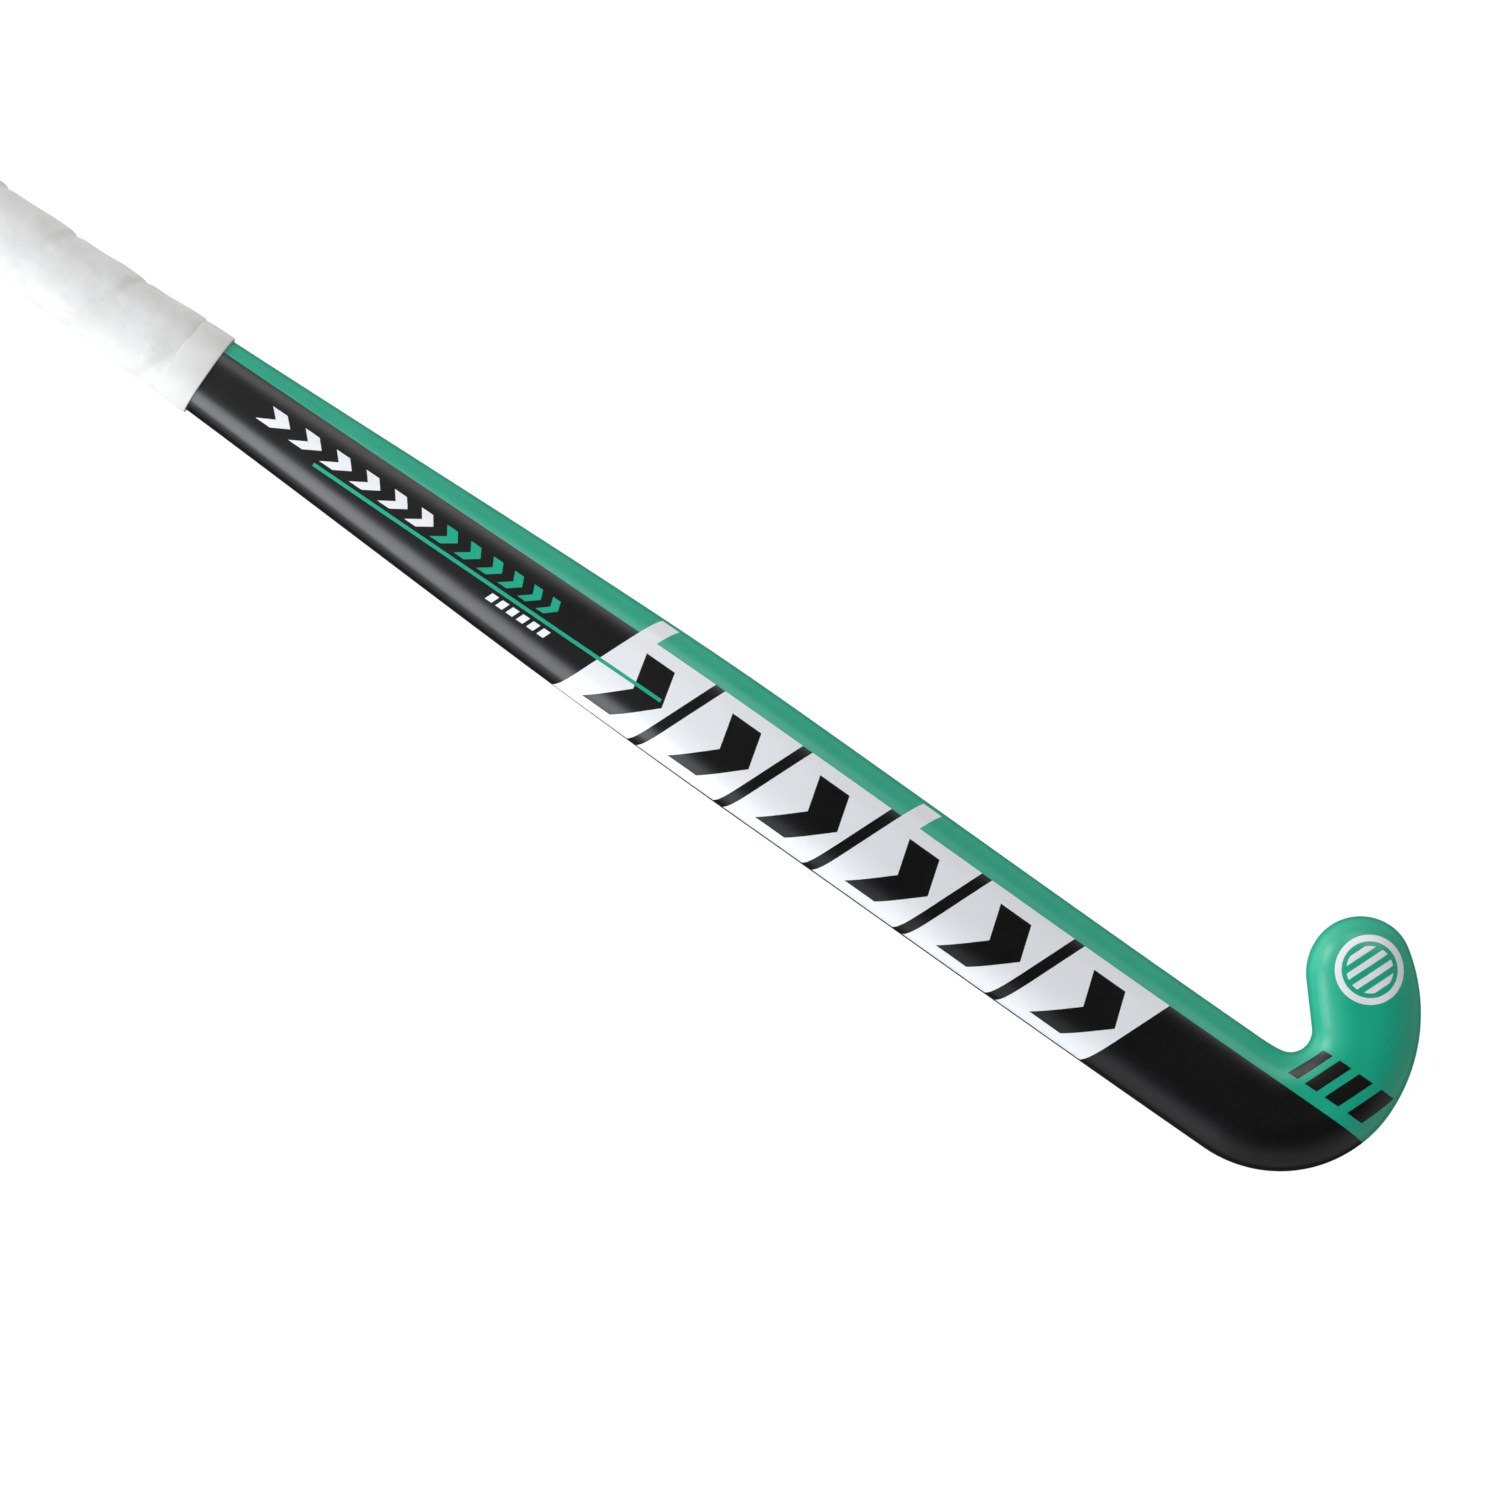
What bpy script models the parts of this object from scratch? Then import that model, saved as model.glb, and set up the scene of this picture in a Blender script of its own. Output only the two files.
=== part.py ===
"""Indoor field hockey stick, laid on its flat playing face.

The stick is a hollow moulded laminate. +X runs from the butt to the head, +Y points to the toe side and
+Z out of the rounded back. Every closed surface comes from one pair of edge curves: the toe-side edge,
which bends through the throat, and the heel-side edge, which bends round the heel. Both end at the toe's
tip. A layer inside or outside another is the same surface at another inset.
"""

import math
from collections import namedtuple

import bmesh
import bpy
import numpy as np

MM = 0.001

# Overall sizes
LENGTH = 927 * MM
SHAFT_HALF_WIDTH = 23.5 * MM
SHAFT_THICKNESS = 20.0 * MM
HANDLE_HALF_WIDTH = 14.0 * MM
HANDLE_THICKNESS = 23.5 * MM
TAPER_START = 300 * MM
TAPER_END = 654 * MM

# Bow of the shaft: how far the face stands off the floor, and where
BOW_HEIGHT = 18 * MM
BOW_APEX_FROM_END = 325 * MM
HEAD_FLAT_LENGTH = 72 * MM

# Cross-section of the shaft and head: a flat face with rounded corners under a crowned back
WIDEST_HEIGHT = 7.0 * MM
FACE_CORNER = 5.0 * MM
SMALLEST_CORNER = 1.2 * MM
CROWN_WIDTH = 18.8 * MM
CROWN_POWER = 2.3
OVAL_POWER = 2.0

# Outline of the head, as radii and turns in degrees
HEEL_RADIUS = 51.5 * MM
TOE_BACK_RADIUS = 68.0 * MM
TOE_BACK_TURN = 56.0
TIP_HEEL_RADIUS = 18.5 * MM
TIP_THROAT_RADIUS = 20.5 * MM
TOE_FRONT_RADIUS = 23.0 * MM
TOE_LEAN = 41.0
THROAT_RADIUS = 8.5 * MM
THROAT_EASE_RADIUS = 60.0 * MM
THROAT_EASE_TURN = 8.0
HEAD_START_FROM_END = 65 * MM

# Walls, clearances, and how far each inner piece runs
GAP = 0.3 * MM
SKIN_WALL = 1.6 * MM
TUBE_WALL = 1.0 * MM
STRIP_THICKNESS = 0.5 * MM
STRIP_CLEAR = 0.4 * MM
STRIP_SHARE = 0.46
BAND_THICKNESS = 1.0 * MM
BAND_RELIEF = 0.7 * MM
BAND_ABOVE = 3.2 * MM
BAND_BELOW = 2.4 * MM
CORE_LENGTH = 150 * MM
BAND_LENGTH = 125 * MM
FOAM_LENGTH = 190 * MM

# Butt plug and grip
PLUG_DISC = 4.0 * MM
PLUG_STEM = 18.0 * MM
PLUG_WALL = 2.2 * MM
PLUG_EDGE = 0.7 * MM
GRIP_LENGTH = 397 * MM
GRIP_THICKNESS = 1.4 * MM
GRIP_END_THICKNESS = 0.7 * MM
GRIP_STEP = 1.5 * MM
TAPE_WIDTH = 14 * MM
TAPE_THICKNESS = 0.4 * MM

# How finely the surfaces are cut
QUARTER = 6
HANDLE_STEPS = 12
BLADE_STEPS = 13
HEAD_STEPS = (3, 5, 5, 4, 4, 9)
HEEL_HEADINGS = (18.0, 50.0, 84.0, 104.0, 124.0)
EDGE_SAMPLES = 24
STEP_CLEAR = 4 * MM

Edge = namedtuple("Edge", "length point heading")
Stations = namedtuple("Stations", "toe heel toe_out heel_out")
Layer = namedtuple("Layer", "edge face back")


def level(inset):
    """A layer that lies the same depth under the edges, the face and the back."""
    return Layer(inset, inset, inset)


def deeper(layer, by):
    return Layer(*(depth + by for depth in layer))


def smooth(share):
    """0 to 1 with no slope at either end."""
    share = np.clip(share, 0.0, 1.0)
    return share * share * (3 - 2 * share)


def flatness(x):
    """0 on the oval handle, 1 where the section has its full flat face."""
    return smooth((x - TAPER_START) / (TAPER_END - TAPER_START))


def half_width(x):
    return HANDLE_HALF_WIDTH + (SHAFT_HALF_WIDTH - HANDLE_HALF_WIDTH) * flatness(x)


def bow(x):
    """Height of the playing face over the floor: flat at the head, highest at the apex, down to the grip."""
    flat_start = LENGTH - HEAD_FLAT_LENGTH
    apex = LENGTH - BOW_APEX_FROM_END
    butt = GAP + GRIP_THICKNESS
    rise = BOW_HEIGHT * smooth((flat_start - x) / (flat_start - apex))
    fall = np.clip((apex - x) / apex, 0.0, 1.0)
    return rise - (BOW_HEIGHT - butt) * (1.5 * fall**2 - 0.5 * fall**3)


def edge_along(start, pieces):
    """A chain of lines and arcs that sets off along +X. Each piece is (length or radius, turn in degrees)."""
    point, heading, run = np.array(start, float), 0.0, 0.0
    lengths, points, headings = [0.0], [point], [0.0]
    for size, turn in pieces:
        sweep = math.radians(turn)
        length = size * abs(sweep) if turn else size
        for share in np.linspace(0, 1, EDGE_SAMPLES)[1:]:
            now = heading + sweep * share
            if turn:
                radius = math.copysign(size, turn)
                across = math.sin(now) - math.sin(heading)
                up = math.cos(heading) - math.cos(now)
                step = radius * np.array([across, up])
            else:
                step = length * share * np.array([math.cos(heading), math.sin(heading)])
            lengths.append(run + length * share)
            points.append(point + step)
            headings.append(now)
        point, heading, run = points[-1], headings[-1], lengths[-1]
    return Edge(np.array(lengths), np.array(points), np.array(headings))


def heel_pieces():
    """The heel side: along the shaft, round the heel, up the toe's back and over its tip."""
    return [
        (HEAD_START_FROM_END - HEEL_RADIUS, 0),
        (HEEL_RADIUS, 90),
        (TOE_BACK_RADIUS, TOE_BACK_TURN),
        (TIP_HEEL_RADIUS, 90 - TOE_BACK_TURN),
    ]


def toe_pieces(shaft_run, flank_run):
    """The toe side: along the shaft, through the throat, back along the flank and over the tip."""
    return [
        (shaft_run, 0),
        (THROAT_EASE_RADIUS, THROAT_EASE_TURN),
        (THROAT_RADIUS, 90 + TOE_LEAN - THROAT_EASE_TURN),
        (flank_run, 0),
        (TOE_FRONT_RADIUS, -TOE_LEAN),
        (TIP_THROAT_RADIUS, -90),
    ]


def head_edges():
    """Both edges of the head. The two straight runs of the toe side are solved so that the tips meet."""
    start = LENGTH - HEAD_START_FROM_END
    heel = edge_along((start, -SHAFT_HALF_WIDTH), heel_pieces())
    miss = heel.point[-1] - edge_along((start, SHAFT_HALF_WIDTH), toe_pieces(0, 0)).point[-1]
    lean = math.radians(90 + TOE_LEAN)
    flank_run = miss[1] / math.sin(lean)
    shaft_run = miss[0] - flank_run * math.cos(lean)
    toe = edge_along((start, SHAFT_HALF_WIDTH), toe_pieces(shaft_run, flank_run))
    return toe, heel


def at_length(edge, length):
    """Points and headings of an edge at the given lengths along it."""
    point = np.stack([np.interp(length, edge.length, edge.point[:, i]) for i in (0, 1)], axis=1)
    return point, np.interp(length, edge.length, edge.heading)


def head_stations():
    """Pairs of facing points on the two edges, from the head's start to the toe's tip."""
    toe, heel = head_edges()
    ends = toe.length[EDGE_SAMPLES - 1 :: EDGE_SAMPLES - 1]
    throat_middle = (ends[1] + ends[2]) / 2
    toe_knots = [0, ends[1], throat_middle, *ends[2:]]
    heel_turns = np.interp(np.radians(HEEL_HEADINGS), heel.heading, heel.length)
    heel_knots = [0, *heel_turns, heel.length[-1]]
    shares = [i + np.arange(1, steps + 1) / steps for i, steps in enumerate(HEAD_STEPS)]
    last = len(HEAD_STEPS) - 1
    shares[last] = last + np.sin((shares[last] - last) * math.pi / 2)
    share = np.concatenate(shares)
    knots = np.arange(len(HEAD_STEPS) + 1)
    toe_point, toe_heading = at_length(toe, np.interp(share, knots, toe_knots))
    heel_point, heel_heading = at_length(heel, np.interp(share, knots, heel_knots))
    toe_out = np.stack([-np.sin(toe_heading), np.cos(toe_heading)], axis=1)
    heel_out = np.stack([np.sin(heel_heading), -np.cos(heel_heading)], axis=1)
    return Stations(toe_point, heel_point, toe_out, heel_out)


def shaft_stations(xs):
    """Facing points across the shaft at each x."""
    wide, out = half_width(xs), np.tile([0.0, 1.0], (len(xs), 1))
    return Stations(np.stack([xs, wide], axis=1), np.stack([xs, -wide], axis=1), out, -out)


def shaft_places(start, end):
    """Places along the shaft: both ends, and those between them that all pieces share."""
    apex, head_start = LENGTH - BOW_APEX_FROM_END, LENGTH - HEAD_START_FROM_END
    handle = np.linspace(0, apex, HANDLE_STEPS + 1)
    blade = np.linspace(apex, head_start, BLADE_STEPS + 1)[1:]
    shared = np.concatenate([handle, blade, shaft_ends()])
    shared = np.unique(shared[(shared > start + STEP_CLEAR) & (shared < end - STEP_CLEAR)])
    return np.concatenate([[start], shared, [end]])


def shaft_ends():
    """Where the tubes and strips start and end: past the plug's stem, and short of the head's core."""
    return PLUG_DISC + PLUG_STEM + GAP, LENGTH - CORE_LENGTH - GAP


def stations_from(start):
    """Stations from a place on the shaft to the toe's tip."""
    shaft = shaft_stations(shaft_places(start, LENGTH - HEAD_START_FROM_END))
    return Stations(*(np.concatenate(pair) for pair in zip(shaft, head_stations())))


def inset_edges(stations, inset):
    return stations.toe - stations.toe_out * inset, stations.heel - stations.heel_out * inset


def distance_to(points, toe, heel):
    """How far each point in plan lies inside the outline that the two edges make."""
    nearest = np.full(len(points), np.inf)
    for line in (toe, heel):
        start, run = line[:-1], np.diff(line, axis=0)
        offset = points[:, None, :] - start[None, :, :]
        along = np.clip((offset * run).sum(axis=2) / (run * run).sum(axis=1), 0, 1)
        away = np.linalg.norm(offset - along[:, :, None] * run, axis=2)
        nearest = np.minimum(nearest, away.min(axis=1))
    return nearest


def rounded_width(x, inset, side):
    """How far in from the edge the crown of the back (side 1) or the corner of the face (side -1) reaches."""
    wide = half_width(x)
    full = CROWN_WIDTH if side > 0 else FACE_CORNER
    return np.maximum(wide + flatness(x) * (full - wide) - inset, SMALLEST_CORNER)


def surface_height(x, depth, layer, side):
    """Height of a layer's back (side 1) or face (side -1), at this depth inside its edge."""
    flat = flatness(x)
    thickness = HANDLE_THICKNESS + (SHAFT_THICKNESS - HANDLE_THICKNESS) * flat
    widest = (1 - flat) * thickness / 2 + flat * WIDEST_HEIGHT
    power = OVAL_POWER + (CROWN_POWER - OVAL_POWER) * flat if side > 0 else OVAL_POWER
    outside = 1 - np.clip(depth / rounded_width(x, layer.edge, side), 0.0, 1.0)
    rise = (1 - outside**power) ** (1 / power)
    limit = thickness - layer.back if side > 0 else layer.face
    return bow(x) + widest + (limit - widest) * rise


def half_pattern(x, layer, side):
    """Places from the edge (1) to the middle (0), at equal turns round the rounded part."""
    turn = np.arange(QUARTER) * (np.pi / 2) / (QUARTER - flatness(x)[:, None])
    reach = rounded_width(x, layer.edge, side) / (half_width(x) - layer.edge)
    share = 1 - reach[:, None] * (1 - np.cos(turn))
    return np.column_stack([share, np.zeros(len(x))])


def ring_pattern(x, layer):
    """Places round whole rings: from the toe side over the back to the heel side, and home by the face."""
    back, face = half_pattern(x, layer, 1), half_pattern(x, layer, -1)
    across = np.concatenate([back, -back[:, -2::-1], -face[:, 1:], face[:, -2:0:-1]], axis=1)
    on_back = np.arange(across.shape[1]) <= 2 * QUARTER
    return across, on_back


def with_heights(x, y, depth, layer, on_back):
    back, face = (surface_height(x, depth, layer, side) for side in (1, -1))
    return np.stack([x, y, np.where(on_back, back, face)], axis=-1)


def ring_stack(stations, layer):
    """One closed ring of points at each station."""
    toe, heel = inset_edges(stations, layer.edge)
    middle, reach = (toe + heel) / 2, (toe - heel) / 2
    across, on_back = ring_pattern(middle[:, 0], layer)
    plan = middle[:, None, :] + reach[:, None, :] * across[:, :, None]
    depth = distance_to(plan.reshape(-1, 2), toe, heel).reshape(across.shape)
    depth[np.abs(across) == 1] = 0.0
    return with_heights(plan[:, :, 0], plan[:, :, 1], depth, layer, on_back)


def shaft_rings(profile):
    """Closed rings round the shaft. The profile lists places and how far inside the skin's outside each is."""
    x, inset = np.array(profile, float).T
    layer = level(inset)
    across, on_back = ring_pattern(x, layer)
    edge = (half_width(x) - inset)[:, None]
    layer, x = level(inset[:, None]), np.tile(x[:, None], across.shape[1])
    return with_heights(x, edge * across, edge * (1 - np.abs(across)), layer, on_back)


def half_rings(x, layer, side, web):
    """Rings round one half of the shaft's inside, whose flat wall stands this far from the middle plane."""
    edge = (half_width(x) - layer.edge)[:, None]
    back = np.maximum(edge * half_pattern(x, layer, 1), web)
    face = np.maximum(edge * half_pattern(x, layer, -1), web)[:, :0:-1]
    y = np.concatenate([back, face], axis=1)
    on_back = np.arange(y.shape[1]) <= QUARTER
    x = np.tile(x[:, None], y.shape[1])
    return with_heights(x, side * y, edge - y, layer, on_back)


def strip_rings(x, side):
    """Rings of a thin strip that lies under the skin, on the back (side 1) or the face (side -1)."""
    shares = np.array([1, 0.5, 0, -0.5, -1]) * STRIP_SHARE
    y = half_width(x)[:, None] * shares
    edge = tube_layer().edge
    depth = half_width(x)[:, None] - edge - np.abs(y)
    x = np.tile(x[:, None], len(shares))
    top = SKIN_WALL + STRIP_CLEAR
    upper, lower = (
        with_heights(x, y, depth, Layer(edge, under, under), side > 0)
        for under in (top, top + STRIP_THICKNESS)
    )
    return np.concatenate([upper, lower[:, ::-1]], axis=1)


def band_rings():
    """Rings of the band that follows the head's edge: along the throat, over the tip and back by the heel."""
    stations = stations_from(LENGTH - BAND_LENGTH)
    outside = SKIN_WALL + GAP + BAND_RELIEF
    outer = inset_edges(stations, outside)
    inner = inset_edges(stations, outside + BAND_THICKNESS)
    out = np.concatenate([outer[0], outer[1][-2::-1]])
    back = np.concatenate([inner[0], inner[1][-2::-1]])
    low, high = WIDEST_HEIGHT - BAND_BELOW, WIDEST_HEIGHT + BAND_ABOVE
    corners = ((out, low), (out, high), (back, high), (back, low))
    return np.stack([np.column_stack([p, z + bow(p[:, 0])]) for p, z in corners], axis=1)


def add_rings(shape, rings, pole=False):
    """Skins a stack of rings. With a pole, the last ring is one point."""
    loops = [[shape.verts.new(p) for p in ring] for ring in (rings[:-1] if pole else rings)]
    for here, there in zip(loops, loops[1:]):
        join_rings(shape, here, there)
    if pole:
        tip, last = shape.verts.new(rings[-1][0]), loops[-1]
        for i in range(len(last)):
            shape.faces.new((last[i], last[(i + 1) % len(last)], tip))
    return loops


def join_rings(shape, here, there):
    """A band of faces between two rings of the same number of points."""
    for i in range(len(here)):
        j = (i + 1) % len(here)
        shape.faces.new((here[i], here[j], there[j], there[i]))


def piece(name, shape, material, frame, sharp=35):
    """Makes the object, with its faces out and its round sides shaded smooth."""
    bmesh.ops.recalc_face_normals(shape, faces=shape.faces)
    mesh = bpy.data.meshes.new(name)
    shape.to_mesh(mesh)
    shape.free()
    mesh.shade_smooth()
    mesh.set_sharp_from_angle(angle=math.radians(sharp))
    mesh.materials.append(material)
    made = bpy.data.objects.new(name, mesh)
    made.parent = frame
    bpy.context.scene.collection.objects.link(made)


def solid(name, rings, material, frame, pole=False):
    """A solid bar through a stack of rings, closed at both ends."""
    shape = bmesh.new()
    loops = add_rings(shape, rings, pole)
    shape.faces.new(loops[0])
    if not pole:
        shape.faces.new(loops[-1])
    piece(name, shape, material, frame)


def sleeve(name, outer, inner, material, frame, pole=False):
    """A tube between two stacks of rings, open at the start, and at the end too unless it has a pole."""
    shape = bmesh.new()
    outside, inside = add_rings(shape, outer, pole), add_rings(shape, inner, pole)
    join_rings(shape, outside[0], inside[0])
    if not pole:
        join_rings(shape, outside[-1], inside[-1])
    piece(name, shape, material, frame)


def finish(name, colour, roughness, metallic=0.0):
    material = bpy.data.materials.new(name)
    material.use_nodes = True
    shader = material.node_tree.nodes["Principled BSDF"]
    shader.inputs["Base Color"].default_value = (*colour, 1.0)
    shader.inputs["Roughness"].default_value = roughness
    shader.inputs["Metallic"].default_value = metallic
    return material


def outer_skin(frame):
    """The moulded outer laminate, one piece from the plug's disc to the toe's tip, open at the butt."""
    paint = finish("painted_laminate", (0.012, 0.011, 0.014), 0.35)
    stations = stations_from(PLUG_DISC + GAP)
    outer, inner = ring_stack(stations, level(0)), ring_stack(stations, level(SKIN_WALL))
    sleeve("outer_skin", outer, inner, paint, frame, pole=True)


def tube_layer():
    """Where the outsides of the inner tubes lie: close to the edges, and under the stiffening strips."""
    depth = SKIN_WALL + STRIP_THICKNESS + 2 * STRIP_CLEAR
    return Layer(SKIN_WALL + GAP, depth, depth)


def inner_tubes(frame):
    """Two tubes side by side. Their flat walls, back to back, make the web down the middle of the shaft."""
    carbon = finish("carbon_tube", (0.02, 0.02, 0.022), 0.45)
    x = shaft_places(*shaft_ends())
    inside = deeper(tube_layer(), TUBE_WALL)
    for name, side in (("toe_side_tube", 1), ("heel_side_tube", -1)):
        outer = half_rings(x, tube_layer(), side, GAP / 2)
        inner = half_rings(x, inside, side, GAP / 2 + TUBE_WALL)
        sleeve(name, outer, inner, carbon, frame)


def handle_foam(frame):
    """A foam bar in the handle end of each tube, which damps the sting of a hit."""
    foam = finish("handle_foam", (0.75, 0.62, 0.36), 0.9)
    start = shaft_ends()[0]
    x = shaft_places(start, start + FOAM_LENGTH)
    layer, web = deeper(tube_layer(), TUBE_WALL + GAP), GAP / 2 + TUBE_WALL + GAP
    for name, side in (("toe_side_foam", 1), ("heel_side_foam", -1)):
        solid(name, half_rings(x, layer, side, web), foam, frame)


def stiffening_strips(frame):
    """Two straight-fibre strips between the skin and the tubes, one on the back and one on the face."""
    carbon = finish("carbon_strip", (0.03, 0.03, 0.032), 0.4)
    x = shaft_places(*shaft_ends())
    for name, side in (("back_strip", 1), ("face_strip", -1)):
        solid(name, strip_rings(x, side), carbon, frame)


def head_core(frame):
    """The dense filler that makes the head solid."""
    filler = finish("head_filler", (0.5, 0.42, 0.3), 0.8)
    edge = SKIN_WALL + GAP + BAND_RELIEF + BAND_THICKNESS + GAP
    layer = Layer(edge, SKIN_WALL + GAP, SKIN_WALL + GAP)
    solid("head_core", ring_stack(stations_from(LENGTH - CORE_LENGTH), layer), filler, frame, pole=True)


def edge_band(frame):
    """The tough woven band that runs round the head between the filler and the skin."""
    aramid = finish("aramid_band", (0.6, 0.45, 0.08), 0.6)
    solid("edge_band", band_rings(), aramid, frame)


def butt_plug(frame):
    """A disc that closes the handle, on a hollow stem that fits in the skin."""
    rubber = finish("plug_rubber", (0.02, 0.02, 0.021), 0.6)
    stem, end = SKIN_WALL + GAP, PLUG_DISC + PLUG_STEM
    profile = (
        (0, PLUG_EDGE),
        (PLUG_EDGE, 0),
        (PLUG_DISC, 0),
        (PLUG_DISC, stem),
        (end - PLUG_EDGE, stem),
        (end, stem + PLUG_EDGE),
        (end, stem + PLUG_WALL),
        (PLUG_DISC, stem + PLUG_WALL),
    )
    solid("butt_plug", shaft_rings(profile), rubber, frame)


def sleeve_over(name, profile, under, material, frame):
    """A sleeve on the handle. The profile gives how far its outside stands off the skin at each place."""
    outer = shaft_rings([(x, -over) for x, over in profile])
    inner = shaft_rings([(x, -under) for x, _ in profile])
    sleeve(name, outer, inner, material, frame)


def grip_tape(frame):
    """The soft grip, as the sleeve that its turns make together, thinned at its end under the tape."""
    white = finish("grip_white", (0.8, 0.8, 0.79), 0.75)
    full, thin = GAP + GRIP_THICKNESS, GAP + GRIP_END_THICKNESS
    step = GRIP_LENGTH - TAPE_WIDTH - GAP
    profile = [(x, full) for x in shaft_places(0, step - GRIP_STEP)]
    profile += [(step, thin), (GRIP_LENGTH, thin)]
    sleeve_over("grip_tape", profile, GAP, white, frame)


def finishing_tape(frame):
    """The narrow tape that binds the lower end of the grip."""
    ivory = finish("finishing_tape", (0.78, 0.77, 0.73), 0.5)
    under = 2 * GAP + GRIP_END_THICKNESS
    over = under + TAPE_THICKNESS
    profile = ((GRIP_LENGTH - TAPE_WIDTH, over), (GRIP_LENGTH, over))
    sleeve_over("finishing_tape", profile, under, ivory, frame)


def centre_on_floor(frame):
    """Moves the frame so that the origin is under the middle of the stick's box, on the floor."""
    bpy.context.view_layer.update()
    corners = np.array([p.matrix_world @ v.co for p in frame.children for v in p.data.vertices])
    middle = (corners.min(axis=0) + corners.max(axis=0)) / 2
    frame.location = (-middle[0], -middle[1], 0.0)


def main():
    for old in list(bpy.data.objects):
        bpy.data.objects.remove(old)
    frame = bpy.data.objects.new("stick_frame", None)
    bpy.context.scene.collection.objects.link(frame)
    outer_skin(frame)
    inner_tubes(frame)
    handle_foam(frame)
    stiffening_strips(frame)
    head_core(frame)
    edge_band(frame)
    butt_plug(frame)
    grip_tape(frame)
    finishing_tape(frame)
    centre_on_floor(frame)


main()
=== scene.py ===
# %% [markdown]
# # An indoor hockey stick, laid on its flat face
#
# The stick is a hollow carbon laminate. Its rounded back is painted satin black and green with white
# print, and a soft white grip is wound round the handle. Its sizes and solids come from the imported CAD
# model, which loads first as a fixed frame. Everything is in metres: +X points from the butt to the
# head, +Y to the side where the toe turns up, and +Z out of the rounded back.

import functools
import itertools
import math

import bpy
import numpy as np
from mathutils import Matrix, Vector


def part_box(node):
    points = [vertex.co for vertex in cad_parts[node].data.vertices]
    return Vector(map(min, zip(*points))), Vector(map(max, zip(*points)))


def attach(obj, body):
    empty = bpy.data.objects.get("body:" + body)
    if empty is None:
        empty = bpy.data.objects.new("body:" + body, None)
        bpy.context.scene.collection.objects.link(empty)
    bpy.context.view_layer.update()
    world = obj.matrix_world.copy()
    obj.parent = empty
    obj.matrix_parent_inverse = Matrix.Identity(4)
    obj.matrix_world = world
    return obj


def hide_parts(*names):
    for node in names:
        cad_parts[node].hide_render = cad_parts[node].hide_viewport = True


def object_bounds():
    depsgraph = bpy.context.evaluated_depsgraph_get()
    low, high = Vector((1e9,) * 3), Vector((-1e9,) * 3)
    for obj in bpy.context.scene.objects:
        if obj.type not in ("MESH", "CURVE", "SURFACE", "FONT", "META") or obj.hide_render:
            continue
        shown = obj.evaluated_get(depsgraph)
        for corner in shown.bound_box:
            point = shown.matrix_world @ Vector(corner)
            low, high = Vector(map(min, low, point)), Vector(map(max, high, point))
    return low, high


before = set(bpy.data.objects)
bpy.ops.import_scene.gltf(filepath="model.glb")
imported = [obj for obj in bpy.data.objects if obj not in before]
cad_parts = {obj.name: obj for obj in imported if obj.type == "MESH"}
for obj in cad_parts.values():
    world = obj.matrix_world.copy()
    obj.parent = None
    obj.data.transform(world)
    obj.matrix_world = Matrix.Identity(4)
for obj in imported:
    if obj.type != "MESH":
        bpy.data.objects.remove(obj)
cad_low, cad_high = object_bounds()
MM = 0.001
print("CAD box, mm:", [round(size / MM, 1) for size in cad_high - cad_low])

# %% [markdown]
# ## Where the stick lies
#
# Each shape below is worked out along the stick: x from the butt, y from the shaft's middle line and z
# up from the floor. The CAD grip starts at the butt and lies evenly round the shaft, so its box gives
# both the butt and the middle line.

# %% The stick's own axes
grip_low, grip_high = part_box("grip_tape")
BUTT = np.array([grip_low.x, (grip_low.y + grip_high.y) / 2, 0.0])
LENGTH = cad_high.x - grip_low.x
GRIP_LENGTH = grip_high.x - grip_low.x
print("length and grip, mm:", round(LENGTH / MM, 1), round(GRIP_LENGTH / MM, 1))

# %% [markdown]
# ## The laws of the section
#
# The handle is nearly oval, and the section turns little by little into a flat playing face under a
# crowned back. One number, the flatness, says how far that change has gone at each x. The width, the
# thickness and the rounding all follow from it, as they do in the CAD model.

# %% Width, flatness and bow along the stick
SHAFT_HALF_WIDTH = 23.5 * MM
SHAFT_THICKNESS = 20.0 * MM
HANDLE_HALF_WIDTH = 14.0 * MM
HANDLE_THICKNESS = 23.5 * MM
TAPER_START = 300 * MM
TAPER_END = 654 * MM
BOW_HEIGHT = 18 * MM
BOW_APEX = LENGTH - 325 * MM
FLAT_START = LENGTH - 72 * MM
BUTT_HEIGHT = 1.7 * MM


def smooth(share):
    """0 to 1 with no slope at either end: s squared times (3 - 2 s)."""
    share = np.clip(share, 0.0, 1.0)
    return share * share * (3 - 2 * share)


def flatness(x):
    """0 on the oval handle, 1 where the section has its full flat face."""
    return smooth((x - TAPER_START) / (TAPER_END - TAPER_START))


def half_width(x):
    """The handle's half width, plus the flatness times what the shaft has more."""
    return HANDLE_HALF_WIDTH + (SHAFT_HALF_WIDTH - HANDLE_HALF_WIDTH) * flatness(x)


def bow(x):
    """Height of the face over the floor: an S-curve up from the head to the apex, then the curve of a
    bent beam down to the butt, 1.5 f squared - 0.5 f cubed of the fall."""
    fall = np.clip((BOW_APEX - x) / BOW_APEX, 0.0, 1.0)
    drop = (BOW_HEIGHT - BUTT_HEIGHT) * (1.5 * fall**2 - 0.5 * fall**3)
    return BOW_HEIGHT * smooth((FLAT_START - x) / (FLAT_START - BOW_APEX)) - drop


# %% The height of the surface over a point in plan
WIDEST_HEIGHT = 7.0 * MM
FACE_CORNER = 5.0 * MM
CROWN_WIDTH = 18.8 * MM
CROWN_POWER = 2.3
OVAL_POWER = 2.0
SMALLEST_CORNER = 1.2 * MM


def rounded_width(x, inset, on_back):
    """How far in from the edge the rounding reaches: the whole half width on the handle, the crown or
    the face's corner on the shaft."""
    wide = half_width(x)
    full = np.where(on_back, CROWN_WIDTH, FACE_CORNER)
    return np.maximum(wide + flatness(x) * (full - wide) - inset, SMALLEST_CORNER)


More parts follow.
